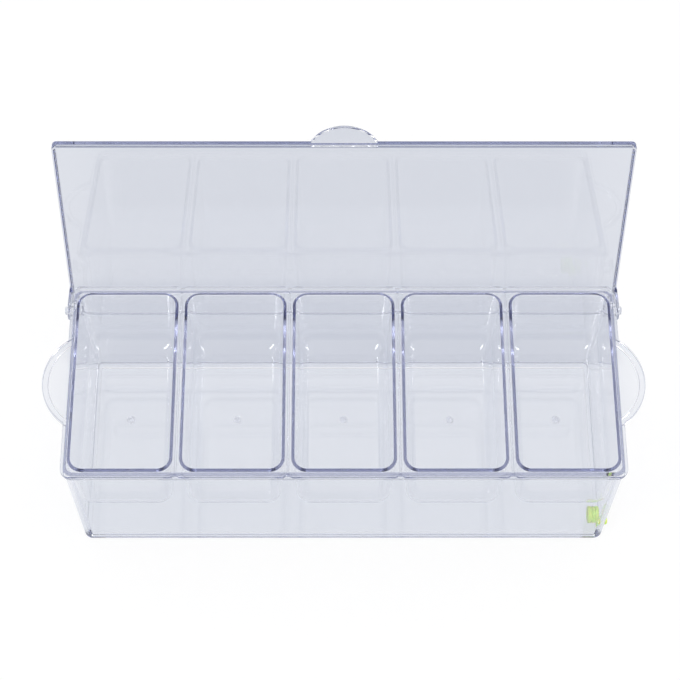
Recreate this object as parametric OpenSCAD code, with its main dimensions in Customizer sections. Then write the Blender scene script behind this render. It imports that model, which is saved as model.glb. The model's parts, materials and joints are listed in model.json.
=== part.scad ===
// Condiment caddy: a clear ice base with five lift-out tubs, one clear lid hinged at the
// rear of both ends, and a soft drain plug. Millimetres. X runs along the caddy, Y from
// front to rear, Z up. The origin is the centre of the base's underside.

/* [Tubs] */
// Number of tubs side by side
tub_count = 5; // [2:1:7]
// Distance from one tub to the next
tub_pitch = 81; // [70:0.5:100]
// Gap between neighbouring tub flanges
tub_gap = 0.8; // [0.4:0.1:2]
// Front to rear length of a tub flange
tub_depth = 158.4; // [130:0.2:190]
// Height of a tub from its underside to the top of its flange
tub_h = 68.8; // [50:0.2:90]
// Thickness of the tub wall
tub_wall = 2.1; // [1.6:0.1:3]
// Thickness of the tub flange and floor
tub_flange_t = 2.2; // [1.6:0.1:3.5]
// Width of the flange beyond the tub wall at the sides
flange_side = 2.1; // [1.6:0.1:3]
// Width of the flange beyond the tub wall at front and rear
flange_end = 5.1; // [4.8:0.1:9]
// Radius of the tub's inner corners, seen from above
tub_corner_r = 9; // [5:0.5:14]
// Radius of the flange's outer corners
flange_corner_r = 4; // [2:0.5:7]
// Width of the bend where the tub's side walls turn into its floor
tub_floor_r = 8; // [4:0.5:12]
// Radius of the bend where the tub's front and rear walls turn into its floor
tub_end_r = 16; // [8:0.5:24]
// How far a tub's front and rear walls lean in from rim to floor
tub_draft = 1.2; // [0.4:0.1:2]
// How far a tub's side walls lean in from rim to floor
tub_side_draft = 2.4; // [1.6:0.1:2.8]

/* [Ice base] */
// Height of the base, up to the rim the tubs rest on
base_h = 115.6; // [96:0.2:140]
// Thickness of the base wall
base_wall = 2.2; // [1.8:0.1:3.5]
// Thickness of the base floor
base_floor = 2.5; // [2:0.1:4]
// Thickness of the base rim
rim_t = 2.4; // [1.8:0.1:4]
// Width of the rim beyond the base wall
rim_out = 2.2; // [1.5:0.1:3]
// How far the base's front and rear walls lean in from rim to floor
base_draft = 1; // [0.5:0.1:2]
// Radius of the base's outer corners, seen from above
base_corner_r = 6.5; // [5:0.5:12]
// Radius along the bottom edge of the base
base_edge_r = 1.5; // [1:0.1:2.5]
// Radius inside the base, where its walls meet its floor
base_inner_r = 1; // [0.5:0.1:4]
// Height of the foot rim that the base stands on
foot_h = 2.5; // [1:0.1:3.5]
// Width of the foot rim
foot_w = 5.4; // [3:0.1:6]
// Free space between the end tubs and the base wall, at the rim
tub_fit = 0.4; // [0.2:0.1:1]

/* [Carrying handles] */
// Length of a handle where it meets the rim
handle_chord = 69; // [50:1:100]
// How far a handle stands out from the rim
handle_out = 17.5; // [12:0.5:30]
// Thickness of the handle plate
handle_t = 2.4; // [1.8:0.1:4]
// Width of the thickened band along a handle's edge
handle_band_w = 4.5; // [2:0.5:7]
// Height of the thickened band along a handle's edge
handle_band_h = 5; // [3:0.5:9]

/* [Lid] */
// Thickness of the lid plate and its lips
lid_t = 2.4; // [1.8:0.1:3.2]
// Free space inside the lips, around the tub flanges and the base rim
lid_fit = 0.6; // [0.4:0.1:1.5]
// Free space at the ends, between the rim and the lid's side lips
lid_side_gap = 1.6; // [0.8:0.1:3]
// Height of the lid plate above the tub flanges
lid_lift = 2.6; // [2.2:0.1:6]
// How far the front and side lips hang below the top of the tub flanges
lip_drop = 1; // [0.5:0.1:1.8]
// Radius of the lid's outer corners
lid_corner_r = 3.5; // [2.5:0.5:6]
// Length of the finger tab along the lid's front edge
tab_chord = 48; // [30:1:80]
// How far the finger tab stands out
tab_out = 15; // [8:0.5:22]

/* [Hinge] */
// Distance of the hinge axis in front of the rear edge of the tub flanges
axis_in = 10; // [8:0.1:14]
// Depth of the hinge axis below the top of the tub flanges
axis_down = 19.5; // [17:0.1:30]
// Angle that the lid opens to, where its rear lip rests on the base
open_angle = 103.4; // [96:0.1:112]
// Free space that is left where the rear lip comes to rest
stop_gap = 0.1; // [0.05:0.05:0.5]
// Radius of the ear around its pin
ear_r = 7; // [5.5:0.5:10]
// Radius of the hinge pin's shank
pin_r = 2; // [1.5:0.1:3]
// Radial clearance between a pin and the ear that turns on it
pin_running = 0.05; // [0.02:0.01:0.09]
// Radial clearance between a pin and the boss that holds it
pin_hold = 0.01; // [0.01:0.01:0.02]
// Radius of the pin's round head
pin_head_r = 3.2; // [2.6:0.1:5]
// Thickness of the pin's round head
pin_head_t = 2; // [1.2:0.1:3.5]
// Radius of the boss that holds the pin
boss_r = 5; // [4:0.5:6]
// End gap between the ear and the parts on either side of it
ear_gap = 0.3; // [0.2:0.1:0.8]

/* [Drain plug] */
// Distance of the drain hole behind the base's front face
drain_in = 11; // [10.5:0.5:30]
// Height of the drain hole above the base's floor
drain_above = 5; // [4.7:0.1:20]
// Radius of the drain hole
drain_r = 3; // [2.5:0.1:3.4]
// Radial clearance of the plug's neck and nub in the drain hole
plug_fit = 0.1; // [0.05:0.05:0.3]
// How far the plug's nub stands out of the end wall
nub_len = 3; // [2:0.5:7]
// How far the plug's flange reaches past the edge of the drain hole
plug_flange = 1.5; // [1:0.1:1.8]
// Thickness of the plug's flange
plug_flange_t = 2.5; // [2:0.1:4]
// Gap between the plug's flange and the wall
flange_gap = 0.6; // [0.4:0.1:1]
// Radius of the plug's knob inside the base
knob_r = 6.5; // [5:0.5:8]
// Length of the knob
knob_len = 7.5; // [5:0.5:9]
// How far the knob's middle stands above the drain hole's
knob_up = 7; // [4:0.5:9]
// How far the knob's middle stands behind the drain hole's
knob_back = 3.5; // [0:0.5:5]

/* [Hidden] */
$fn = 64;

// How far a cut runs past what it cuts, and how far one solid sinks into the next
over = 1;

// How much of a wall's lean its corners lose from their radius
corner_share = 0.5;

// Colours of the clear plastic and of the soft plug
clear_tint = [0.86, 0.89, 0.95, 0.5];
pin_tint = [0.93, 0.95, 0.98];
lime = [0.72, 0.9, 0.42];

// Heights
tub_top = base_h + tub_flange_t;
tub_bottom = tub_top - tub_h;

// Tub sizes: half widths of the flange and of the outer wall at the rim
flange_hx = (tub_pitch - tub_gap) / 2;
flange_hy = tub_depth / 2;
tub_hx = flange_hx - flange_side;
tub_hy = flange_hy - flange_end;
tub_outer_r = tub_corner_r + tub_wall;

// Base sizes: half widths of the outer wall at the rim, and of the rim
row_hx = (tub_count - 1) / 2 * tub_pitch;
base_hx = row_hx + tub_hx + tub_fit + base_wall;
base_hy = tub_hy + tub_fit + base_wall;
rim_hx = max(base_hx + rim_out, row_hx + flange_hx + tub_fit);
rim_hy = max(base_hy + rim_out, flange_hy + tub_fit / 2);

// Lid sizes: half widths of the outer faces of its lips, and its heights when closed
lid_hx = rim_hx + lid_side_gap + lid_t;
lid_hy = rim_hy + lid_fit + lid_t;
plate_z = tub_top + lid_lift;
lip_z = tub_top - lip_drop;

// Hinge axis
axis_y = flange_hy - axis_in;
axis_z = tub_top - axis_down;

// How far the base's walls have leaned in at height z, measured from the rim. Its end
// walls run parallel to the tubs' sides.
function base_lean(z) = base_draft * (base_h - z) / base_h;
function end_lean(z) = tub_side_draft * (base_h - z) / tub_h;

// The rear lip is as deep as it takes for its tip to rest on the base's rear wall. The
// tip stands this far above the axis when the lid is closed.
rest_z = axis_z - (lid_hy - axis_y) * sin(open_angle);
rest_y = base_hy - base_lean(rest_z) + stop_gap;
tip_up = (rest_y - axis_y - (lid_hy - axis_y) * cos(open_angle)) / sin(open_angle);

// Outer face of the boss, and the end wall's outer face at the axis
boss_x = lid_hx - lid_t - ear_gap;
end_wall_x = base_hx - end_lean(axis_z);
pin_reach = end_wall_x - base_wall;

// Drain hole
drain_y = -(base_hy - drain_in);
drain_z = foot_h + base_floor + drain_above;
drain_wall_x = base_hx - end_lean(drain_z);
nub_round = 1;

// Width of the pin head's flat top, as a share of its full width
head_top = 0.7;

// Points of a rounded rectangle at height z, with steps segments to each corner
corner_steps = 6;
function ring(hx, hy, r, z) = [
    for (q = [0:3]) for (i = [0:corner_steps])
        let (a = 90 * q + 90 * i / corner_steps,
             sx = (q == 0 || q == 3) ? 1 : -1,
             sy = (q < 2) ? 1 : -1)
        [sx * (hx - r) + r * cos(a), sy * (hy - r) + r * sin(a), z]];

// Closed skin through a stack of rings, with a flat cap on the first and the last
module skin(rings) {
    n = len(rings[0]);
    m = len(rings);
    points = [for (one = rings) for (p = one) p];
    sides = [for (k = [0:m - 2]) for (i = [0:n - 1])
        let (j = (i + 1) % n)
        each [[k * n + i, (k + 1) * n + i, (k + 1) * n + j],
              [k * n + i, (k + 1) * n + j, k * n + j]]];
    first = [[for (i = [0:n - 1]) i]];
    last = [[for (i = [0:n - 1]) m * n - 1 - i]];
    polyhedron(points = points, faces = concat(sides, first, last), convexity = 6);
}

// Tub, modelled about its own centre line with the flange's top at z = 0
bend_steps = 6;
// One ring of the tub's skin: across and along are how far a bend has turned in so far
function tub_ring(depth, across, along, inset, r) =
    let (fall = depth / tub_h)
    ring(tub_hx - tub_side_draft * fall - inset - across,
         tub_hy - tub_draft * fall - inset - along, r - across * corner_share, -depth);

// Rings of the bend into the floor, for one face of the wall
function tub_bend(floor_z, side_r, end_r, inset, r, steps) = [
    for (i = steps)
        let (a = 90 * i / bend_steps)
        tub_ring(floor_z - end_r * (1 - cos(a)), side_r * (1 - sin(a)),
                 end_r * (1 - sin(a)), inset, r)];

module tub_shell() {
    skin(concat(
        tub_bend(tub_h, tub_floor_r + tub_wall, tub_end_r + tub_wall, 0, tub_outer_r,
                 [0:bend_steps]),
        [tub_ring(tub_flange_t, 0, 0, 0, tub_outer_r)],
        [ring(flange_hx, flange_hy, flange_corner_r, -tub_flange_t)],
        [ring(flange_hx, flange_hy, flange_corner_r, 0)],
        [tub_ring(0, 0, 0, tub_wall, tub_corner_r)],
        tub_bend(tub_h - tub_flange_t, tub_floor_r, tub_end_r, tub_wall, tub_corner_r,
                 [bend_steps:-1:0])));
}

module tub(place) {
    color(clear_tint)
        translate([place * tub_pitch - row_hx, 0, tub_top])
            tub_shell();
}

// Ice base: one ring of its skin, where inset is how far in from its outer wall it lies
function base_ring(inset, z) =
    ring(base_hx - end_lean(z) - inset, base_hy - base_lean(z) - inset,
         base_corner_r - (base_lean(z) + inset) * corner_share, z);

module base_shell() {
    edge_steps = 3;
    floor_z = foot_h + base_floor;
    skin(concat(
        [base_ring(foot_w, foot_h)],
        [base_ring(foot_w, 0)],
        [for (i = [0:edge_steps])
            let (a = 90 * i / edge_steps)
            base_ring(base_edge_r * (1 - sin(a)), base_edge_r * (1 - cos(a)))],
        [base_ring(0, base_h - rim_t)],
        [ring(rim_hx, rim_hy, base_corner_r + rim_out, base_h - rim_t)],
        [ring(rim_hx, rim_hy, base_corner_r + rim_out, base_h)],
        [base_ring(base_wall, base_h)],
        [for (i = [edge_steps:-1:0])
            let (a = 90 * i / edge_steps)
            base_ring(base_wall + base_inner_r * (1 - sin(a)),
                      floor_z + base_inner_r * (1 - cos(a)))]));
}

// A segment of a disc that stands out past a straight edge, for the handles and the tab.
// It also reaches back behind the edge, to sink into the part that carries it.
function segment_r(chord, out) = (chord * chord / 4 + out * out) / (2 * out);

module segment(chord, out, inset, back, height) {
    r = segment_r(chord, out);
    intersection() {
        translate([out - r, 0, 0])
            cylinder(r = r - inset, h = height);
        translate([-back, -chord, 0])
            cube([out + back, 2 * chord, height]);
    }
}

module handle() {
    translate([rim_hx, 0, base_h - handle_t])
        segment(handle_chord, handle_out, 0, over, handle_t);
    translate([rim_hx, 0, base_h - handle_band_h])
        difference() {
            segment(handle_chord, handle_out, 0, 0, handle_band_h);
            translate([0, 0, -over])
                segment(handle_chord, handle_out, handle_band_w, over,
                        handle_band_h + 2 * over);
        }
}

module hinge_boss() {
    translate([end_wall_x - base_wall / 2, axis_y, axis_z])
        rotate([0, 90, 0])
            cylinder(r = boss_r, h = boss_x - end_wall_x + base_wall / 2);
}

module boss_bore() {
    translate([pin_reach - over, axis_y, axis_z])
        rotate([0, 90, 0])
            cylinder(r = pin_r + pin_hold, h = boss_x - pin_reach + 2 * over);
}

module ice_base() {
    color(clear_tint)
        difference() {
            union() {
                base_shell();
                for (side = [0, 1]) mirror([side, 0, 0]) {
                    handle();
                    hinge_boss();
                }
            }
            for (side = [0, 1]) mirror([side, 0, 0])
                boss_bore();
            translate([drain_wall_x - base_wall - over, drain_y, drain_z])
                rotate([0, 90, 0])
                    cylinder(r = drain_r, h = base_wall + 2 * over);
        }
}

// Lid, modelled closed and then turned open about the hinge axis
module rounded_plate(hx, hy, r, height) {
    linear_extrude(height = height)
        union() {
            square([2 * (hx - r), 2 * hy], center = true);
            square([2 * hx, 2 * (hy - r)], center = true);
            for (x = [-1, 1]) for (y = [-1, 1])
                translate([x * (hx - r), y * (hy - r)])
                    circle(r = r);
        }
}

module lid_ear() {
    translate([lid_hx - lid_t, axis_y, axis_z])
        rotate([0, 90, 0])
            cylinder(r = ear_r, h = lid_t);
    translate([lid_hx - lid_t, axis_y - ear_r, axis_z])
        cube([lid_t, 2 * ear_r, plate_z - axis_z]);
}

module closed_lid() {
    lip_h = plate_z - lip_z;
    difference() {
        union() {
            difference() {
                translate([0, 0, lip_z])
                    rounded_plate(lid_hx, lid_hy, lid_corner_r, lip_h + lid_t);
                translate([0, 0, lip_z - over])
                    rounded_plate(lid_hx - lid_t, lid_hy - lid_t, lid_corner_r - lid_t,
                                  lip_h + over);
            }
            translate([-(lid_hx - lid_corner_r), lid_hy - lid_t, axis_z + tip_up])
                cube([2 * (lid_hx - lid_corner_r), lid_t, lip_z - axis_z - tip_up + over]);
            translate([0, -lid_hy, plate_z])
                rotate([0, 0, -90])
                    segment(tab_chord, tab_out, 0, over, lid_t);
            for (side = [0, 1]) mirror([side, 0, 0])
                lid_ear();
        }
        for (side = [0, 1]) mirror([side, 0, 0])
            translate([lid_hx - lid_t - over, axis_y, axis_z])
                rotate([0, 90, 0])
                    cylinder(r = pin_r + pin_running, h = lid_t + 2 * over);
    }
}

module lid() {
    color(clear_tint)
        translate([0, axis_y, axis_z])
            rotate([-open_angle, 0, 0])
                translate([0, -axis_y, -axis_z])
                    closed_lid();
}

// Hinge pins: a shank through the ear into the boss, and a domed round head outside
module hinge_pin() {
    shank_end = lid_hx + ear_gap;
    color(pin_tint)
        translate([0, axis_y, axis_z])
            rotate([0, 90, 0]) {
                translate([0, 0, pin_reach])
                    cylinder(r = pin_r, h = shank_end - pin_reach + pin_head_t / 2);
                translate([0, 0, shank_end])
                    cylinder(r = pin_head_r, h = pin_head_t / 2);
                translate([0, 0, shank_end + pin_head_t / 2])
                    cylinder(r1 = pin_head_r, r2 = pin_head_r * head_top, h = pin_head_t / 2);
            }
}

module hinge_pin_right() {
    hinge_pin();
}

module hinge_pin_left() {
    mirror([1, 0, 0])
        hinge_pin();
}

// Drain plug: a neck through the wall with a rounded nub outside, a flange inside and,
// above and behind it, an eccentric knob. It is pushed in from outside to let it out.
module drain_plug() {
    neck_r = drain_r - plug_fit;
    flange_r = drain_r + plug_flange;
    flange_x = -base_wall - flange_gap;
    knob_x = flange_x - plug_flange_t;
    color(lime)
        translate([drain_wall_x, drain_y, drain_z])
            rotate([0, 90, 0]) {
                rotate_extrude()
                    polygon([[0, knob_x],
                             [flange_r, knob_x],
                             [flange_r, flange_x],
                             [neck_r, flange_x],
                             [neck_r, nub_len - nub_round],
                             [neck_r - nub_round, nub_len],
                             [0, nub_len]]);
                translate([-knob_up, knob_back, knob_x - knob_len])
                    rotate_extrude()
                        polygon([[0, 0],
                                 [knob_r - nub_round, 0],
                                 [knob_r, nub_round],
                                 [knob_r, knob_len + over],
                                 [0, knob_len + over]]);
            }
}

ice_base();
for (i = [1:tub_count])
    tub(i - 1);
lid();
hinge_pin_left();
hinge_pin_right();
drain_plug();
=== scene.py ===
# %% [markdown]
# # A clear condiment caddy
# The real object is an ice base with five lift-out tubs, one hinged lid and a lime plug.
# Nearly all of it is clear moulded styrene, so the picture depends on two things: true
# wall thickness with soft edges, and light that a clear body can bend, mirror and tint.

# %% Load the fixed frame
import json
import math

import bmesh
import bpy
from mathutils import Matrix, Vector


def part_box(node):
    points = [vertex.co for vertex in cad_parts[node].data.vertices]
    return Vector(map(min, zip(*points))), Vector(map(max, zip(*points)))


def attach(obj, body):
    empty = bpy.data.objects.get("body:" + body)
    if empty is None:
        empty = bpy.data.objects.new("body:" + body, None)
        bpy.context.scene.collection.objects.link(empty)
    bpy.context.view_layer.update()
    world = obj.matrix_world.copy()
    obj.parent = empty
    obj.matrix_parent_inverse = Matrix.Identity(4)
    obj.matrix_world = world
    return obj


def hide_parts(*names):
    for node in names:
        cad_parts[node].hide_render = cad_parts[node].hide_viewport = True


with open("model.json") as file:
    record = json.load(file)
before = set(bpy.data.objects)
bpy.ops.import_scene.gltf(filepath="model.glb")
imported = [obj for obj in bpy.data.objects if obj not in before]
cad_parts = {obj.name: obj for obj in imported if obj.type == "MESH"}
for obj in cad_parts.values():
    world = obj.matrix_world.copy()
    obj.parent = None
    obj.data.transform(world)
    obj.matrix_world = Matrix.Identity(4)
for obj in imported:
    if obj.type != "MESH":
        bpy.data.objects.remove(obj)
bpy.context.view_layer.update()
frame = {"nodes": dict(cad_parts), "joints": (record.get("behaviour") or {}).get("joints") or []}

# %% [markdown]
# ## Sizes
# Lengths are written in millimetres, as a mould maker would, and turned to metres here.
# Outer sizes are read from the frame, so the pieces always fit the construction. Only
# what a box can't tell, such as walls and radii, is written down. The row's length follows
# from the tubs, so the base, the lid and the hinge keep their fit when a size changes.


# %% Measure the frame
def mm(length):
    return length / 1000


def size_of(node):
    low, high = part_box(node)
    return high - low


tubs = sorted(name for name in frame["nodes"] if name.startswith("tub_"))
tub_size = size_of(tubs[0])
tub_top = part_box(tubs[0])[1].z
flange_half = Vector((tub_size.x / 2, tub_size.y / 2))
tub_height = tub_size.z
hinge = next(j for j in frame["joints"] if j["name"] == "lid_hinge")
axis = Vector(hinge["pos_m"])
open_angle = math.radians(-hinge["range_deg"][0])
pin_low, pin_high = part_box("hinge_pin_right")
print("tub", [round(1000 * v, 1) for v in tub_size], "hinge axis", list(axis))

# %% Walls and radii
tub_wall = mm(2.1)
tub_floor = mm(2.2)
flange_side = mm(2.1)
flange_end = mm(5.1)
tub_corner = mm(9)
flange_corner = mm(4)
tub_floor_bend = mm(8)
tub_end_bend = mm(16)
tub_draft = mm(1.2)
tub_side_draft = mm(2.4)
tub_fit = mm(0.4)
base_wall = mm(2.2)
base_floor = mm(2.5)
rim_thickness = mm(2.4)
rim_out = mm(2.2)
base_draft = mm(1)
base_corner = mm(6.5)
base_edge = mm(0.5)
base_inner_bend = mm(1)
foot_height = mm(2.5)
foot_width = mm(5.4)
handle_chord = mm(69)
handle_out = mm(17.5)
handle_inset = mm(1)
handle_band = mm(4.5)
handle_band_height = mm(5)
lid_thickness = mm(2.4)
lid_fit = mm(0.6)
lid_side_gap = mm(1.6)
lid_lift = mm(2.6)
lip_drop = mm(1)
lid_corner = mm(3.5)
tab_chord = mm(48)
tab_out = mm(15)
ear_radius = mm(7)
pin_radius = mm(2)
pin_running = mm(0.05)
press_gap = mm(0.02)
boss_radius = mm(5)
boss_gap = mm(0.3)
bore_reach = mm(20)
bore_past = mm(2)
stop_gap = mm(0.1)
seat_gap = mm(0.12)
tuck = mm(0.03)
drain_radius = mm(3)
drain_in = mm(11)
drain_above = mm(5)
drain_past = mm(3)
nub_length = mm(3)
plug_flange = mm(1.5)
plug_flange_thickness = mm(2.5)
plug_gap = mm(0.6)
knob_radius = mm(6.5)
knob_length = mm(7.5)
knob_up = mm(7)
knob_back = mm(3.5)

# %% Work out the rest
tub_half = flange_half - Vector((flange_side, flange_end))
row_half = max(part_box(name)[1].x for name in tubs) - flange_half.x
base_top = tub_top - tub_floor
base_half = Vector((row_half, 0)) + tub_half + Vector((1, 1)) * (tub_fit + base_wall)
rim_half = Vector((base_half.x + rim_out,
                   max(base_half.y + rim_out, flange_half.y + tub_fit / 2)))
lid_half = rim_half + Vector((lid_side_gap + lid_thickness, lid_fit + lid_thickness))
plate_z = tub_top + lid_lift
lip_z = tub_top - lip_drop
drain_y = drain_in - base_half.y
drain_z = foot_height + base_floor + drain_above


def base_lean(z):
    return base_draft * (base_top - z) / base_top


def end_lean(z):
    """The base's end walls run parallel to the tubs' sides."""
    return tub_side_draft * (base_top - z) / tub_height


end_wall_x = base_half.x - end_lean(axis.z)
boss_x = lid_half.x - lid_thickness - boss_gap
drain_wall_x = base_half.x - end_lean(drain_z)
rear_reach = lid_half.y - axis.y
rest_z = axis.z - rear_reach * math.sin(open_angle)
rest_y = base_half.y - base_lean(rest_z) + stop_gap
tip_up = (rest_y - axis.y - rear_reach * math.cos(open_angle)) / math.sin(open_angle)
print("rim half", [round(1000 * v, 1) for v in rim_half], "tip up", round(1000 * tip_up, 2))

# %% [markdown]
# ## Shells from stacked outlines
# Tubs, trays and lids are drafted boxes with rounded corners. One way to make them is a
# cube with bevels, but clear plastic shows its wall from inside too. So each shell is
# lofted: a stack of rounded outlines runs up the outside, over the rim and down the
# inside, and neighbouring outlines are joined by strips of faces. Bends are arcs in the
# stack, so every edge has the small radius that a mould leaves.

# %% Rounded outlines and arcs of them
corner_steps = 9
bend_steps = 7
least_corner = mm(0.2)
weld_reach = 1e-6


def outline(half_x, half_y, radius, z):
    points = []
    for quarter in range(4):
        side_x = 1 if quarter in (0, 3) else -1
        side_y = 1 if quarter < 2 else -1
        for step in range(corner_steps + 1):
            turn = math.radians(90 * (quarter + step / corner_steps))
            points.append(Vector((side_x * (half_x - radius) + radius * math.cos(turn),
                                  side_y * (half_y - radius) + radius * math.sin(turn), z)))
    return points


def bend(edge_x, edge_y, radius, z, size, start, stop, steps=bend_steps, end_size=None,
         corner_share=1.0):
    """Outlines round one bend. Its centre line is edge_x by edge_y, at height z. Size is
    its reach in X, and end_size its reach in Y and Z where that is another length."""
    rows = []
    tall = end_size or size
    for step in range(steps + 1):
        turn = math.radians(start + (stop - start) * step / steps)
        reach = size * math.cos(turn)
        rows.append(outline(edge_x + reach, edge_y + tall * math.cos(turn),
                            max(radius + reach * corner_share, least_corner),
                            z + tall * math.sin(turn)))
    return rows


def circle(radius, z):
    """A round outline with as many points as the others, to loft to."""
    points = []
    for quarter in range(4):
        for step in range(corner_steps + 1):
            turn = math.radians(90 * quarter + 90 * (step + 0.5) / (corner_steps + 1))
            points.append(Vector((radius * math.cos(turn), radius * math.sin(turn), z)))
    return points


# %% Turn a stack of outlines into a closed mesh
def mesh_object(name, bm):
    bmesh.ops.recalc_face_normals(bm, faces=bm.faces)
    mesh = bpy.data.meshes.new(name)
    bm.to_mesh(mesh)
    bm.free()
    piece = bpy.data.objects.new(name, mesh)
    bpy.context.scene.collection.objects.link(piece)
    return piece


def loft(name, rows):
    bm = bmesh.new()
    loops = [[bm.verts.new(point) for point in row] for row in rows]
    for lower, upper in zip(loops, loops[1:]):
        for i in range(len(lower)):
            j = (i + 1) % len(lower)
            bm.faces.new((lower[i], lower[j], upper[j], upper[i]))
    bm.faces.new(loops[0])
    bm.faces.new(loops[-1])
    bmesh.ops.remove_doubles(bm, verts=bm.verts, dist=weld_reach)
    return mesh_object(name, bm)


def spin(name, profile, steps=48):
    """A turned piece about the Z axis, from (radius, height) points."""
    turns = [2 * math.pi * step / steps for step in range(steps)]
    return loft(name, [[Vector((r * math.cos(turn), r * math.sin(turn), h)) for turn in turns]
                       for r, h in profile])


def arc_points(centre, radius, start, stop, steps=6):
    turns = [math.radians(start + (stop - start) * i / steps) for i in range(steps + 1)]
    return [(centre[0] + radius * math.cos(t), centre[1] + radius * math.sin(t)) for t in turns]


def rounded_box(name, low, high, radius, segments=3):
    bm = bmesh.new()
    bmesh.ops.create_cube(bm, size=1)
    size = Vector(high) - Vector(low)
    middle = (Vector(high) + Vector(low)) / 2
    bmesh.ops.transform(bm, matrix=Matrix.Translation(middle) @ Matrix.Diagonal((*size, 1)),
                        verts=bm.verts)
    bmesh.ops.bevel(bm, geom=bm.edges, offset=radius, segments=segments, affect="EDGES",
                    profile=0.5)
    return mesh_object(name, bm)


# %% Joining and smoothing
def combine(piece, other, operation):
    modifier = piece.modifiers.new(operation, "BOOLEAN")
    modifier.operation = operation
    modifier.object = other
    modifier.solver = "EXACT"
    apply_modifiers(piece)
    bpy.data.objects.remove(other)
    drop_slivers(piece.data)


def drop_slivers(mesh):
    """Takes out the faces of no area that a boolean leaves where two edges meet."""
    bm = bmesh.new()
    bm.from_mesh(mesh)
    bmesh.ops.dissolve_degenerate(bm, edges=bm.edges, dist=weld_reach)
    bm.to_mesh(mesh)
    bm.free()


def apply_modifiers(piece):
    bpy.context.view_layer.update()
    graph = bpy.context.evaluated_depsgraph_get()
    mesh = bpy.data.meshes.new_from_object(piece.evaluated_get(graph))
    piece.modifiers.clear()
    piece.data = mesh


def smooth(piece, crease=40):
    """Smooth shading that leaves flat panels flat, which a clear body needs."""
    for face in piece.data.polygons:
        face.use_smooth = True
    piece.data.set_sharp_from_angle(angle=math.radians(crease))
    weighted = piece.modifiers.new("flat panels stay flat", "WEIGHTED_NORMAL")
    weighted.keep_sharp = True
    weighted.weight = 100
    apply_modifiers(piece)


def turned_to_x(piece, place):
    """Lays a turned piece along +X with its foot at place."""
    piece.data.transform(Matrix.Translation(place) @ Matrix.Rotation(math.pi / 2, 4, "Y"))


def mirror(piece):
    """Moves a piece made for the right-hand end to the left-hand end."""
    piece.data.transform(Matrix.Diagonal((-1, 1, 1, 1)))
    piece.data.flip_normals()


# %% [markdown]
# ## Colour and nodes
# Colours are picked as the eye sees them, in sRGB hex, and Blender works in linear light,
# so one function turns one into the other. Another adds a shader node with its settings
# and links in one call, which keeps each material as short as its recipe.


# %% Helpers for materials
def linear(hex_colour):
    values = [int(hex_colour[i:i + 2], 16) / 255 for i in (1, 3, 5)]
    low = [v / 12.92 for v in values]
    high = [((v + 0.055) / 1.055) ** 2.4 for v in values]
    return tuple(l if v <= 0.04045 else h for v, l, h in zip(values, low, high)) + (1.0,)


def add_node(tree, kind, settings=None, **inputs):
    """Adds a node. An input is a value, or the output socket that feeds it. An input
    called _3 is the node's socket number 3."""
    node = tree.nodes.new(kind)
    for name, value in (settings or {}).items():
        setattr(node, name, value)
    for name, value in inputs.items():
        socket = node.inputs[int(name[1:]) if name[1:].isdigit() else name.replace("_", " ")]
        if isinstance(value, bpy.types.NodeSocket):
            tree.links.new(value, socket)
        else:
            socket.default_value = value
    return node


def new_material(name):
    material = bpy.data.materials.new(name)
    material.use_nodes = True
    material.node_tree.nodes.clear()
    return material, material.node_tree


# %% [markdown]
# ## Clear styrene
# Bar caddies are moulded in clear styrene-acrylonitrile: hard, glossy, IOR 1.57, with a
# faint blue-violet cast that the maker adds to hide its natural yellow. Face on, a wall
# is nearly invisible. Edge on, light has run a long way inside, so the cast builds up to
# the blue-grey lines that draw the object. Volume absorption does just that, and it only
# works because every shell above has a true thickness. The mould's flow gives the faces
# a slow waviness, drawn here coarser than life so that it shows.

# %% Make the clear styrene
styrene_ior = 1.57
styrene_tint = ("#FEFEFE", "#FFFFFF")
styrene_cast = "#9EA6CE"
cast_density = 8
flow_width = mm(38)
flow_depth = 0.015
fine_width = mm(6)
least_gloss = 0.006


def clear_styrene(name):
    material, tree = new_material(name)
    place = add_node(tree, "ShaderNodeTexCoord").outputs["Object"]
    flow = add_node(tree, "ShaderNodeTexNoise", Vector=place, Scale=1 / flow_width,
                    Detail=2.0, Roughness=0.45)
    fine = add_node(tree, "ShaderNodeTexNoise", Vector=place, Scale=1 / fine_width,
                    Detail=1.0, Roughness=0.4)
    shade = add_node(tree, "ShaderNodeMix", {"data_type": "RGBA"}, _0=flow.outputs["Fac"],
                     _6=linear(styrene_tint[0]), _7=linear(styrene_tint[1]))
    gloss = add_node(tree, "ShaderNodeMapRange", Value=fine.outputs["Fac"], _3=0.0,
                     _4=least_gloss)
    bumps = add_node(tree, "ShaderNodeBump", Height=flow.outputs["Fac"], Strength=flow_depth,
                     Distance=mm(1.0))
    body = add_node(tree, "ShaderNodeBsdfPrincipled", Base_Color=shade.outputs[2],
                    Roughness=gloss.outputs["Result"], IOR=styrene_ior,
                    Transmission_Weight=1.0, Normal=bumps.outputs["Normal"])
    lets_lamps_in = add_node(tree, "ShaderNodeBsdfTransparent", Color=linear("#EEF0F6"))
    path = add_node(tree, "ShaderNodeLightPath")
    mixed = add_node(tree, "ShaderNodeMixShader", _0=path.outputs["Is Shadow Ray"],
                     _1=body.outputs["BSDF"], _2=lets_lamps_in.outputs["BSDF"])
    inside = add_node(tree, "ShaderNodeVolumeAbsorption", Color=linear(styrene_cast),
                      Density=cast_density)
    add_node(tree, "ShaderNodeOutputMaterial", Surface=mixed.outputs["Shader"],
             Volume=inside.outputs["Volume"])
    return material


tub_styrene = clear_styrene("clear styrene of the tubs")
base_styrene = clear_styrene("clear styrene of the base")
lid_styrene = clear_styrene("clear styrene of the lid")
pin_styrene = clear_styrene("clear styrene of the pins")
print("made", len(bpy.data.materials), "materials")

# %% Make the rough styrene of the gate marks
torn_width = mm(0.8)
milky_share = 0.7


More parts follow.
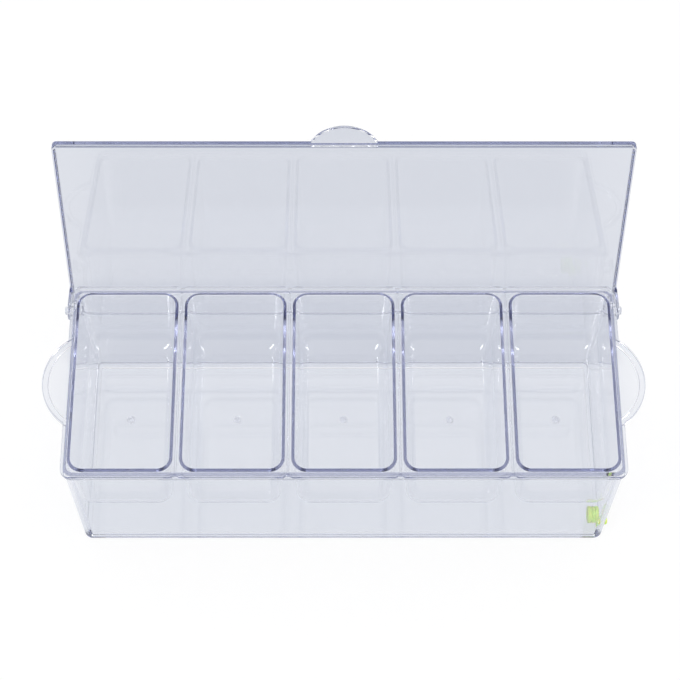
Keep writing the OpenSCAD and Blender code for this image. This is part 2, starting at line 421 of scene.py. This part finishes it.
def broken_styrene(name):
    """Where the gate was snapped off the surface is torn, so it scatters light."""
    material, tree = new_material(name)
    place = add_node(tree, "ShaderNodeTexCoord").outputs["Object"]
    torn = add_node(tree, "ShaderNodeTexNoise", Vector=place, Scale=1 / torn_width, Detail=2.0)
    rough = add_node(tree, "ShaderNodeMapRange", Value=torn.outputs["Fac"], _3=0.25, _4=0.55)
    bumps = add_node(tree, "ShaderNodeBump", Height=torn.outputs["Fac"], Strength=0.4,
                     Distance=mm(0.2))
    glassy = add_node(tree, "ShaderNodeBsdfPrincipled", Base_Color=linear("#FAFBFF"),
                      Roughness=rough.outputs["Result"], IOR=styrene_ior,
                      Transmission_Weight=1.0, Normal=bumps.outputs["Normal"])
    milky = add_node(tree, "ShaderNodeBsdfTranslucent", Color=linear("#FFFFFF"))
    white = add_node(tree, "ShaderNodeBsdfDiffuse", Color=linear("#FFFFFF"))
    scattered = add_node(tree, "ShaderNodeMixShader", _0=0.6, _1=milky.outputs["BSDF"],
                         _2=white.outputs["BSDF"])
    mixed = add_node(tree, "ShaderNodeMixShader", _0=milky_share, _1=glassy.outputs["BSDF"],
                     _2=scattered.outputs["Shader"])
    add_node(tree, "ShaderNodeOutputMaterial", Surface=mixed.outputs["Shader"])
    return material


gate_styrene = broken_styrene("rough styrene of the gate marks")

# %% [markdown]
# ## Lime silicone
# The plug is soft silicone rubber, pressed in a mould with a satin finish. It scatters
# light a little way in, so it glows rather than shines, and dust and handling leave it
# slightly uneven. Its IOR is 1.41.

# %% Make the lime silicone
silicone_ior = 1.41
lime_tint = ("#CBEA58", "#DDF486")
satin_range = (0.34, 0.5)
mottle_width = mm(2.5)


def lime_silicone(name):
    material, tree = new_material(name)
    place = add_node(tree, "ShaderNodeTexCoord").outputs["Object"]
    mottle = add_node(tree, "ShaderNodeTexNoise", Vector=place, Scale=1 / mottle_width,
                      Detail=3.0)
    shade = add_node(tree, "ShaderNodeMix", {"data_type": "RGBA"}, _0=mottle.outputs["Fac"],
                     _6=linear(lime_tint[0]), _7=linear(lime_tint[1]))
    satin = add_node(tree, "ShaderNodeMapRange", Value=mottle.outputs["Fac"],
                     _3=satin_range[0], _4=satin_range[1])
    grain = add_node(tree, "ShaderNodeBump", Height=mottle.outputs["Fac"], Strength=0.15,
                     Distance=mm(0.2))
    body = add_node(tree, "ShaderNodeBsdfPrincipled", Base_Color=shade.outputs[2],
                    Roughness=satin.outputs["Result"], IOR=silicone_ior,
                    Subsurface_Weight=0.35, Subsurface_Scale=mm(2),
                    Normal=grain.outputs["Normal"])
    add_node(tree, "ShaderNodeOutputMaterial", Surface=body.outputs["BSDF"])
    return material


plug_silicone = lime_silicone("lime silicone")

# %% [markdown]
# ## The tubs
# A tub is a deep drafted box. Its wide flange rests on the base's rim, its floor meets
# the walls in a large radius so that a spoon can sweep it clean, and the gate where the
# plastic came in leaves a small round mark in the middle of the floor.

# %% Loft a tub
flange_edge = mm(0.6)
rim_edge = mm(0.5)
gate_radius = mm(3.4)
gate_depth = mm(0.8)
# From the mark's rim down into its ring and up to the middle, as shares of radius and depth.
gate_section = ((0.93, 0.15), (0.84, 0.5), (0.76, 0.7), (0.55, 0.6), (0.35, 0.2),
                (0.18, 0.05), (0.05, 0))
rough_reach = gate_radius * 0.95
floor_steps = 10


def tub_rows():
    side_out = tub_floor_bend + tub_wall
    end_out = tub_end_bend + tub_wall
    lean = Vector((tub_side_draft, tub_draft))
    low = tub_half - lean
    inner = tub_half - Vector((1, 1)) * tub_wall
    inner_low = inner - lean
    outer_corner = tub_corner + tub_wall
    floor_z = tub_floor - tub_height
    rows = bend(low.x - side_out, low.y - end_out, outer_corner - side_out / 2,
                end_out - tub_height, side_out, -90, 0, floor_steps, end_out, 0.5)
    rows += bend(tub_half.x + rim_edge, tub_half.y + rim_edge, outer_corner + rim_edge,
                 seat_gap - tub_floor - rim_edge, rim_edge, 180, 90, 3)
    rows += bend(flange_half.x - flange_edge, flange_half.y - flange_edge,
                 flange_corner - flange_edge, seat_gap + flange_edge - tub_floor, flange_edge,
                 -90, 0, 3)
    rows += bend(flange_half.x - flange_edge, flange_half.y - flange_edge,
                 flange_corner - flange_edge, -flange_edge, flange_edge, 0, 90, 3)
    rows += bend(inner.x + rim_edge, inner.y + rim_edge, tub_corner + rim_edge,
                 -rim_edge, rim_edge, 90, 180, 3)
    rows += bend(inner_low.x - tub_floor_bend, inner_low.y - tub_end_bend,
                 tub_corner - tub_floor_bend / 2, floor_z + tub_end_bend, tub_floor_bend,
                 0, -90, floor_steps, tub_end_bend, 0.5)
    rows.append(circle(gate_radius, floor_z))
    for reach, depth in gate_section:
        rows.append(circle(gate_radius * reach, floor_z - gate_depth * depth))
    return rows


for name in tubs:
    low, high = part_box(name)
    middle_x = (low.x + high.x) / 2
    piece = loft("glazed_" + name, tub_rows())
    piece.data.transform(Matrix.Translation((middle_x, 0, tub_top)))
    smooth(piece)
    piece.data.materials.append(tub_styrene)
    piece.data.materials.append(gate_styrene)
    for face in piece.data.polygons:
        near_gate = math.hypot(face.center.x - middle_x, face.center.y) < rough_reach
        is_strip = len(face.vertices) < 5
        face.material_index = 1 if near_gate and is_strip else 0
    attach(piece, name)
    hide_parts(name)
print("lofted", len(tubs), "tubs")

# %% [markdown]
# ## The ice base
# The base is the same kind of shell at a larger size. Its handles are half discs at rim
# level with a thickened edge to grip. They are lofted as solids of their own and welded
# on with an exact boolean, because a clear body must not have walls inside it. A boolean
# can't tell apart faces that lie exactly on each other, so each part that is welded on
# stays a few hundredths of a millimetre inside the faces it continues.


# %% Half discs for handles and tab
disc_root = mm(1.5)
band_root = mm(1.8)


def arc_radius(chord, out):
    return (chord * chord / 4 + out * out) / (2 * out)


def half_disc(name, chord, out, height, inset=0.0, edge=mm(0.6), steps=40):
    """A disc's segment in the XY plane, standing out along +X, its top at z = 0."""
    radius = arc_radius(chord, out) - inset
    middle = out - inset - radius
    root = -disc_root

    def rim(shrink, z):
        r = radius - shrink
        spread = math.acos(-middle / r)
        points = [Vector((middle + r * math.cos(a), r * math.sin(a), z))
                  for a in (spread * (2 * i / steps - 1) for i in range(steps + 1))]
        return [Vector((root, points[0].y, z))] + points + [Vector((root, points[-1].y, z))]

    return loft(name, [rim(edge, -height), rim(0, -height + edge), rim(0, -edge), rim(edge, 0)])


def grip_band(name, chord, out, width, height, edge=mm(0.9), steps=48):
    """The thick band along a half disc's edge, a rounded bar bent to its arc. Its ends
    are sunk into the wall behind the rim."""
    radius = arc_radius(chord, out)
    spread = math.acos((radius - out - band_root) / radius)
    profile = arc_points((radius - edge, -edge), edge, 0, 90, 4)
    profile += arc_points((radius - width + edge, -edge), edge, 90, 180, 4)
    profile += arc_points((radius - width + edge, edge - height), edge, 180, 270, 4)
    profile += arc_points((radius - edge, edge - height), edge, 270, 360, 4)
    rows = []
    for i in range(steps + 1):
        a = spread * (2 * i / steps - 1)
        rows.append([Vector((out - radius + r * math.cos(a), r * math.sin(a), z))
                     for r, z in profile])
    return loft(name, rows)


# %% Loft the base and weld its handles and bosses on
foot_edge = mm(0.4)


def base_rows():
    lean = Vector((end_lean(0), base_lean(0)))
    low = base_half - lean
    inner = base_half - Vector((1, 1)) * base_wall
    inner_low = inner - lean
    foot = low - Vector((1, 1)) * foot_width
    inner_corner = base_corner - base_wall / 2
    foot_corner = base_corner - foot_width
    floor_z = foot_height + base_floor
    rows = [outline(foot.x, foot.y, foot_corner, foot_height)]
    rows += bend(foot.x + foot_edge, foot.y + foot_edge, foot_corner + foot_edge,
                 foot_edge, foot_edge, 180, 270, 2)
    rows += bend(low.x - base_edge, low.y - base_edge, base_corner - base_edge,
                 base_edge, base_edge, -90, 0)
    rows += bend(base_half.x + rim_edge, base_half.y + rim_edge, base_corner + rim_edge,
                 base_top - rim_thickness - rim_edge, rim_edge, 180, 90, 3)
    rim_corner = base_corner + rim_out
    rows += bend(rim_half.x - rim_edge, rim_half.y - rim_edge, rim_corner - rim_edge,
                 base_top - rim_thickness + rim_edge, rim_edge, -90, 0, 3)
    rows += bend(rim_half.x - rim_edge, rim_half.y - rim_edge, rim_corner - rim_edge,
                 base_top - rim_edge, rim_edge, 0, 90, 3)
    rows += bend(inner.x + rim_edge, inner.y + rim_edge, inner_corner + rim_edge,
                 base_top - rim_edge, rim_edge, 90, 180, 3)
    rows += bend(inner_low.x - base_inner_bend, inner_low.y - base_inner_bend,
                 inner_corner - base_inner_bend, floor_z + base_inner_bend,
                 base_inner_bend, 0, -90)
    return rows


def rod(name, radius, start, stop, edge=mm(0.4)):
    """A round rod along +X with a rounded outer end."""
    profile = [(0, 0), (radius, 0)]
    profile += arc_points((radius - edge, stop - start - edge), edge, 0, 90, 4)
    profile += [(0, stop - start)]
    return spin(name, profile)


base = loft("glazed_ice_base", base_rows())
for side in (1, -1):
    panel = half_disc("panel", handle_chord, handle_out, rim_thickness - 2 * tuck,
                      handle_inset)
    panel.data.transform(Matrix.Translation((rim_half.x, 0, base_top - tuck)))
    band = grip_band("band", handle_chord, handle_out, handle_band, handle_band_height)
    band.data.transform(Matrix.Translation((rim_half.x, 0, base_top - 2 * tuck)))
    boss = rod("boss", boss_radius, end_wall_x - base_wall / 2, boss_x)
    turned_to_x(boss, Vector((end_wall_x - base_wall / 2, axis.y, axis.z)))
    bore = rod("bore", pin_radius + press_gap, 0, bore_reach)
    turned_to_x(bore, Vector((end_wall_x - base_wall - bore_past, axis.y, axis.z)))
    for part in (panel, band, boss, bore):
        if side < 0:
            mirror(part)
    combine(base, panel, "UNION")
    combine(base, band, "UNION")
    combine(base, boss, "UNION")
    combine(base, bore, "DIFFERENCE")
drain = rod("drain", drain_radius, 0, base_wall + 2 * drain_past)
turned_to_x(drain, Vector((drain_wall_x - base_wall - drain_past, drain_y, drain_z)))
combine(base, drain, "DIFFERENCE")
smooth(base)
base.data.materials.clear()
base.data.materials.append(base_styrene)
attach(base, "base")
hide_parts("ice_base")
print("base has", len(base.data.polygons), "faces")

# %% [markdown]
# ## The lid
# The lid is one flat plate with shallow lips at the front and sides, a deeper lip at the
# rear that rests on the base when the lid is open, and an ear at each end for its pin. It
# is built closed, where its sizes make sense, and then turned open about the hinge axis.


# %% Loft the lid closed, then turn it open
lid_edge = mm(0.7)
lip_tip = mm(1.15)
ear_edge = mm(0.5)
rear_lip_edge = mm(0.6)
rear_lip_overlap = mm(0.5)


def lid_rows():
    inner = lid_half - Vector((1, 1)) * lid_thickness
    inner_corner = lid_corner - lid_thickness
    top = plate_z + lid_thickness
    rows = bend(inner.x - lid_edge, inner.y - lid_edge, inner_corner - lid_edge,
                plate_z - lid_edge, lid_edge, 90, 0, 3)
    rows += bend(inner.x + lip_tip, inner.y + lip_tip, inner_corner + lip_tip,
                 lip_z + lip_tip, lip_tip, 180, 270, 4)
    rows += bend(lid_half.x - lip_tip, lid_half.y - lip_tip, lid_corner - lip_tip,
                 lip_z + lip_tip, lip_tip, -90, 0, 4)
    rows += bend(lid_half.x - lid_edge, lid_half.y - lid_edge, lid_corner - lid_edge,
                 top - lid_edge, lid_edge, 0, 90, 3)
    return rows


def ear():
    """A flat ear with a round end about the hinge axis, standing in the YZ plane."""
    points = [Vector((0, ear_radius, plate_z + ear_edge - axis.z))]
    points += [Vector((0, y, z)) for y, z in arc_points((0, 0), ear_radius, 0, -180, 24)]
    points += [Vector((0, -ear_radius, plate_z + ear_edge - axis.z))]
    start = lid_half.x - lid_thickness + tuck
    stop = lid_half.x - tuck

    def row(inset, x):
        moved = []
        for p in points:
            reach = math.hypot(p.y, min(p.z, 0))
            shrink = (reach - inset) / reach
            z = p.z * shrink if p.z < 0 else p.z
            moved.append(Vector((x, axis.y + p.y * shrink, axis.z + z)))
        return moved

    return loft("ear", [row(ear_edge, start), row(0, start + ear_edge),
                        row(0, stop - ear_edge), row(ear_edge, stop)])


lid = loft("glazed_lid", lid_rows())
rear_lip = rounded_box("rear_lip", (-(lid_half.x - lid_corner),
                                    lid_half.y - lid_thickness + tuck, axis.z + tip_up),
                       (lid_half.x - lid_corner, lid_half.y - tuck,
                        plate_z + rear_lip_overlap), rear_lip_edge)
combine(lid, rear_lip, "UNION")
tab = half_disc("tab", tab_chord, tab_out, lid_thickness - 2 * tuck)
tab.data.transform(Matrix.Rotation(-math.pi / 2, 4, "Z"))
tab.data.transform(Matrix.Translation((0, -lid_half.y, plate_z + lid_thickness - tuck)))
combine(lid, tab, "UNION")
for side in (1, -1):
    part = ear()
    bore = rod("bore", pin_radius + pin_running, 0, lid_thickness + 2 * bore_past)
    turned_to_x(bore, Vector((lid_half.x - lid_thickness - bore_past, axis.y, axis.z)))
    for each in (part, bore):
        if side < 0:
            mirror(each)
    combine(lid, part, "UNION")
    combine(lid, bore, "DIFFERENCE")
lid.data.transform(Matrix.Translation(axis) @ Matrix.Rotation(-open_angle, 4, "X")
                   @ Matrix.Translation(-axis))
smooth(lid)
lid.data.materials.clear()
lid.data.materials.append(lid_styrene)
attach(lid, "lid")
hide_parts("lid")
print("lid has", len(lid.data.polygons), "faces")

# %% [markdown]
# ## Pins and plug
# Both are turned shapes, so each is spun from a profile. The pin has a low dome for a
# head. The plug has a nub outside, a flange that seals against the inside of the wall
# and a grooved knob, which sits off the drain's centre and is welded on.

# %% Spin the hinge pins
head_radius = (pin_high.z - pin_low.z) / 2
head_height = mm(2)
head_dome = mm(0.9)
head_edge = mm(0.2)
pin_tip = mm(0.3)
dimple_rim = (mm(1.1), mm(0.15))
dimple_floor = (mm(0.9), mm(0.5))


def pin_profile(length):
    """A shank with a bevelled tip, and a domed head with a dimple in its middle."""
    neck = length - head_height
    points = [(0, 0), (pin_radius - pin_tip, 0), (pin_radius, pin_tip), (pin_radius, neck),
              (head_radius - head_edge, neck), (head_radius, neck + head_edge)]
    points += arc_points((head_radius - head_dome, length - head_dome), head_dome, 0, 90, 5)
    points += [(radius, length - depth) for radius, depth in (dimple_rim, dimple_floor)]
    return points + [(0, length - dimple_floor[1])]


for side, node in ((1, "hinge_pin_right"), (-1, "hinge_pin_left")):
    pin = spin("glazed_" + node, pin_profile(pin_high.x - pin_low.x), 40)
    turned_to_x(pin, Vector((pin_low.x, axis.y, axis.z)))
    if side < 0:
        mirror(pin)
    smooth(pin)
    pin.data.materials.append(pin_styrene)
    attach(pin, "base")
    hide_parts(node)

# %% Spin the drain plug
neck_play = mm(0.1)
neck_radius = drain_radius - neck_play
plug_radius = drain_radius + plug_flange
knob_start = -base_wall - plug_gap - plug_flange_thickness
plug_edge = mm(0.9)
nub_edge = mm(1.4)
knob_extra = mm(0.9)
groove_places = (0.42, 0.72)
groove_depth = mm(0.6)
groove_half = mm(0.7)
groove_floor_half = mm(0.2)


def neck_profile():
    flange_x = knob_start + plug_flange_thickness
    points = [(0, knob_start)]
    points += arc_points((plug_radius - plug_edge, knob_start + plug_edge), plug_edge, -90, 0)
    points += arc_points((plug_radius - plug_edge, flange_x - plug_edge), plug_edge, 0, 90)
    points += [(neck_radius, flange_x), (neck_radius, nub_length - nub_edge)]
    points += arc_points((neck_radius - nub_edge, nub_length - nub_edge), nub_edge, 0, 90)
    return points + [(0, nub_length)]


def knob_profile():
    """A knob with a dished end and two grooves to grip it by."""
    points = [(0, mm(0.7)), (knob_radius * 0.45, mm(0.6)), (knob_radius * 0.7, 0)]
    points += arc_points((knob_radius - plug_edge, plug_edge), plug_edge, -90, 0)
    for place in groove_places:
        z = knob_length * place
        points += [(knob_radius, z - groove_half),
                   (knob_radius - groove_depth, z - groove_floor_half),
                   (knob_radius - groove_depth, z + groove_floor_half),
                   (knob_radius, z + groove_half)]
    top = knob_length + knob_extra
    points += arc_points((knob_radius - plug_edge, top - plug_edge), plug_edge, 0, 90)
    return points + [(0, top)]


plug = spin("lime_drain_plug", neck_profile(), 56)
turned_to_x(plug, Vector((drain_wall_x, drain_y, drain_z)))
knob = spin("knob", knob_profile(), 56)
turned_to_x(knob, Vector((drain_wall_x + knob_start - knob_length, drain_y + knob_back,
                          drain_z + knob_up)))
combine(plug, knob, "UNION")
smooth(plug, crease=50)
plug.data.materials.clear()
plug.data.materials.append(plug_silicone)
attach(plug, "plug")
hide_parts("drain_plug")
print("pins and plug done")

# %% [markdown]
# ## Floor, light and camera
# Clear plastic has no colour of its own to light: it shows what is around it. The camera
# sees plain white paper all round. A ray that a clear wall has bent or mirrored sees a
# ground with painted shade in soft grey bands: a painted shadow under and behind the caddy,
# lighter beside the handles, and darker far in front. It also sees a sky that darkens
# towards the horizon and most of all low down at the rear. So the body stays pale and its
# edges turn blue-grey. The lamps and the soft world light only the plug and the floor's
# faint shadow.

# %% A white floor that keeps a faint shadow, and painted shade for rays the plastic bends
floor_half = 4.0
floor_drop = mm(0.3)
glow_share = 0.86
ramp_half = 0.4
bm = bmesh.new()
corners = [bm.verts.new((x * floor_half, y * floor_half, -floor_drop))
           for x, y in ((-1, -1), (1, -1), (1, 1), (-1, 1))]
bm.faces.new(corners)
floor = mesh_object("floor", bm)
floor_paper, tree = new_material("white studio paper")
path = add_node(tree, "ShaderNodeLightPath")
bent = add_node(tree, "ShaderNodeMath", {"operation": "MAXIMUM"},
                _0=path.outputs["Is Glossy Ray"], _1=path.outputs["Is Transmission Ray"])
seen = add_node(tree, "ShaderNodeMath", {"operation": "MAXIMUM"},
                _0=path.outputs["Is Camera Ray"], _1=bent.outputs["Value"])
share = add_node(tree, "ShaderNodeMath", {"operation": "MULTIPLY"},
                 _0=seen.outputs["Value"], _1=glow_share)
fibre = add_node(tree, "ShaderNodeTexNoise", Scale=1 / mm(2))
paper_shade = add_node(tree, "ShaderNodeMix", {"data_type": "RGBA"}, _0=fibre.outputs["Fac"],
                       _6=linear("#F8F8F8"), _7=linear("#FBFBFB"))
paper = add_node(tree, "ShaderNodeBsdfDiffuse", Color=paper_shade.outputs[2])
ground = add_node(tree, "ShaderNodeTexCoord")
across = add_node(tree, "ShaderNodeSeparateXYZ", Vector=ground.outputs["Object"])
reach = add_node(tree, "ShaderNodeMapRange", Value=across.outputs["Y"], _1=-ramp_half,
                 _2=ramp_half)
shadow = add_node(tree, "ShaderNodeValToRGB", Fac=reach.outputs["Result"])
# Painted shade and shadow on the ground that bent rays see. Each band's place along Y and
# its colour: in front of the caddy, under it, behind it.
painted_shade_stops = [(-0.400, "#BCC0C8"), (-0.192, "#BCC0C8"),
         (-0.186, "#E0E4EB"), (0.072, "#DDE1E9"),
         (0.080, "#C0C5D2"), (0.118, "#C7CCD8"), (0.146, "#C5CAD6"), (0.160, "#D2D6E0")]
ramp = shadow.color_ramp
while len(ramp.elements) < len(painted_shade_stops):
    ramp.elements.new(0.5)
for stop, (y, colour) in zip(ramp.elements, painted_shade_stops):
    stop.position = (y + ramp_half) / (2 * ramp_half)
    stop.color = linear(colour)
# Beside the handles nothing stands on the ground, so the painted shadow fades to lighter ground.
width = add_node(tree, "ShaderNodeMath", {"operation": "ABSOLUTE"}, _0=across.outputs["X"])
beside = add_node(tree, "ShaderNodeMapRange", {"interpolation_type": "SMOOTHSTEP"},
                  Value=width.outputs["Value"], _1=0.195, _2=0.235)
along = add_node(tree, "ShaderNodeMapRange", {"interpolation_type": "SMOOTHSTEP"},
                 Value=across.outputs["Y"], _1=0.08, _2=0.12, _3=1.0, _4=0.12)
outside_painted_shadow = add_node(tree, "ShaderNodeMath", {"operation": "MULTIPLY"},
                     _0=beside.outputs["Result"], _1=along.outputs["Result"])
shade_seen = add_node(tree, "ShaderNodeMix", {"data_type": "RGBA"},
                      _0=outside_painted_shadow.outputs["Value"], _6=shadow.outputs["Color"],
                      _7=linear("#EEF0F5"))
# Camera rays see white paper. Rays bent or mirrored by the plastic see the painted shade.
glow_shade = add_node(tree, "ShaderNodeMix", {"data_type": "RGBA"}, _0=bent.outputs["Value"],
                      _6=linear("#FFFFFF"), _7=shade_seen.outputs[2])
glow = add_node(tree, "ShaderNodeEmission", Color=glow_shade.outputs[2], Strength=1.0)
paper_mix = add_node(tree, "ShaderNodeMixShader", _0=share.outputs["Value"],
                     _1=paper.outputs["BSDF"], _2=glow.outputs["Emission"])
add_node(tree, "ShaderNodeOutputMaterial", Surface=paper_mix.outputs["Shader"])
floor.data.materials.append(floor_paper)

# %% A soft world and two tall lamps
world = bpy.data.worlds.new("studio")
bpy.context.scene.world = world
world.use_nodes = True
sky = world.node_tree
sky.nodes.clear()
sky_path = add_node(sky, "ShaderNodeLightPath")
facing = add_node(sky, "ShaderNodeTexCoord")
rear_dimming = 0.9
apart = add_node(sky, "ShaderNodeSeparateXYZ", Vector=facing.outputs["Generated"])
height = add_node(sky, "ShaderNodeMapRange", {"interpolation_type": "SMOOTHSTEP"},
                  Value=apart.outputs["Z"], _1=0.0, _2=0.5)
rear = add_node(sky, "ShaderNodeMapRange", {"interpolation_type": "SMOOTHSTEP"},
                Value=apart.outputs["Y"], _1=-0.05, _2=0.45)
through = add_node(sky, "ShaderNodeMath", {"operation": "MAXIMUM"},
                   _0=sky_path.outputs["Is Glossy Ray"],
                   _1=sky_path.outputs["Is Transmission Ray"])
low_part = add_node(sky, "ShaderNodeMapRange", {"interpolation_type": "SMOOTHSTEP"},
                    Value=apart.outputs["Z"], _1=0.76, _2=0.85, _3=1.0, _4=0.0)
low_rear = add_node(sky, "ShaderNodeMath", {"operation": "MULTIPLY"},
                    _0=rear.outputs["Result"], _1=low_part.outputs["Result"])
dim_rear = add_node(sky, "ShaderNodeMath", {"operation": "MULTIPLY"},
                    _0=low_rear.outputs["Value"], _1=through.outputs["Value"])
lit = add_node(sky, "ShaderNodeMath", {"operation": "MULTIPLY_ADD"},
               _0=dim_rear.outputs["Value"], _1=-rear_dimming, _2=1.0)
bright = add_node(sky, "ShaderNodeMath", {"operation": "MULTIPLY"},
                  _0=height.outputs["Result"], _1=lit.outputs["Value"])
ceiling = add_node(sky, "ShaderNodeMix", {"data_type": "RGBA"}, _0=bright.outputs["Value"],
                   _6=linear("#9AA1B4"), _7=linear("#FFFFFF"))
mirrored = add_node(sky, "ShaderNodeBackground", Color=ceiling.outputs[2], Strength=1.0)
plain = add_node(sky, "ShaderNodeBackground", Color=linear("#FFFFFF"), Strength=1.0)
sky_mix = add_node(sky, "ShaderNodeMixShader", _0=sky_path.outputs["Is Camera Ray"],
                   _1=mirrored.outputs["Background"], _2=plain.outputs["Background"])
add_node(sky, "ShaderNodeOutputWorld", Surface=sky_mix.outputs["Shader"])


def softbox(name, place, target, width, height, watts):
    lamp = bpy.data.lights.new(name, "AREA")
    lamp.shape = "RECTANGLE"
    lamp.size = width
    lamp.size_y = height
    lamp.energy = watts
    lamp_object = bpy.data.objects.new(name, lamp)
    bpy.context.scene.collection.objects.link(lamp_object)
    lamp_object.location = place
    aim_line = Vector(target) - Vector(place)
    lamp_object.rotation_euler = aim_line.to_track_quat("-Z", "Y").to_euler()


middle = (0, 0, 0.1)
softbox("key softbox", (-0.9, -0.7, 1.5), middle, 0.25, 1.0, 6)
softbox("fill softbox", (1.2, -0.3, 1.2), middle, 0.2, 0.9, 4)

# %% The camera stands where the photographer's did
# Pitch, turn, roll and distance come from fitting the tubs' rims to the picture.
picture_focal = 2077
picture_width = 680
sensor_width = 36
pitch = math.radians(61.32)
turn = math.radians(0.49)
roll = math.radians(0.42)
distance = 1.5436
aim = Vector((mm(-2.8), mm(33.1), tub_top))
camera_data = bpy.data.cameras.new("camera")
camera_data.sensor_width = sensor_width
camera_data.lens = sensor_width * picture_focal / picture_width
camera_data.clip_end = 50
camera = bpy.data.objects.new("camera", camera_data)
bpy.context.scene.collection.objects.link(camera)
back = Vector((0, -math.cos(pitch), math.sin(pitch)))
up = Vector((0, math.sin(pitch), math.cos(pitch)))
right = Vector((1, 0, 0))
rolled_right = right * math.cos(roll) + up * math.sin(roll)
rolled_up = up * math.cos(roll) - right * math.sin(roll)
stand = Matrix.Rotation(-turn, 4, "Z")
facing_matrix = Matrix((rolled_right, rolled_up, back)).transposed().to_4x4()
camera.matrix_world = (Matrix.Translation(aim) @ stand
                       @ Matrix.Translation(back * distance) @ facing_matrix)
bpy.context.scene.camera = camera

# %% View settings and light paths
# Light crosses up to a dozen clear walls here, so it needs many turns before it may stop.
scene = bpy.context.scene
scene.view_settings.view_transform = "Standard"
wall_bounces = 160
scene.cycles.max_bounces = wall_bounces
scene.cycles.transmission_bounces = wall_bounces
scene.cycles.glossy_bounces = wall_bounces
scene.cycles.transparent_max_bounces = 32
scene.cycles.volume_bounces = 0
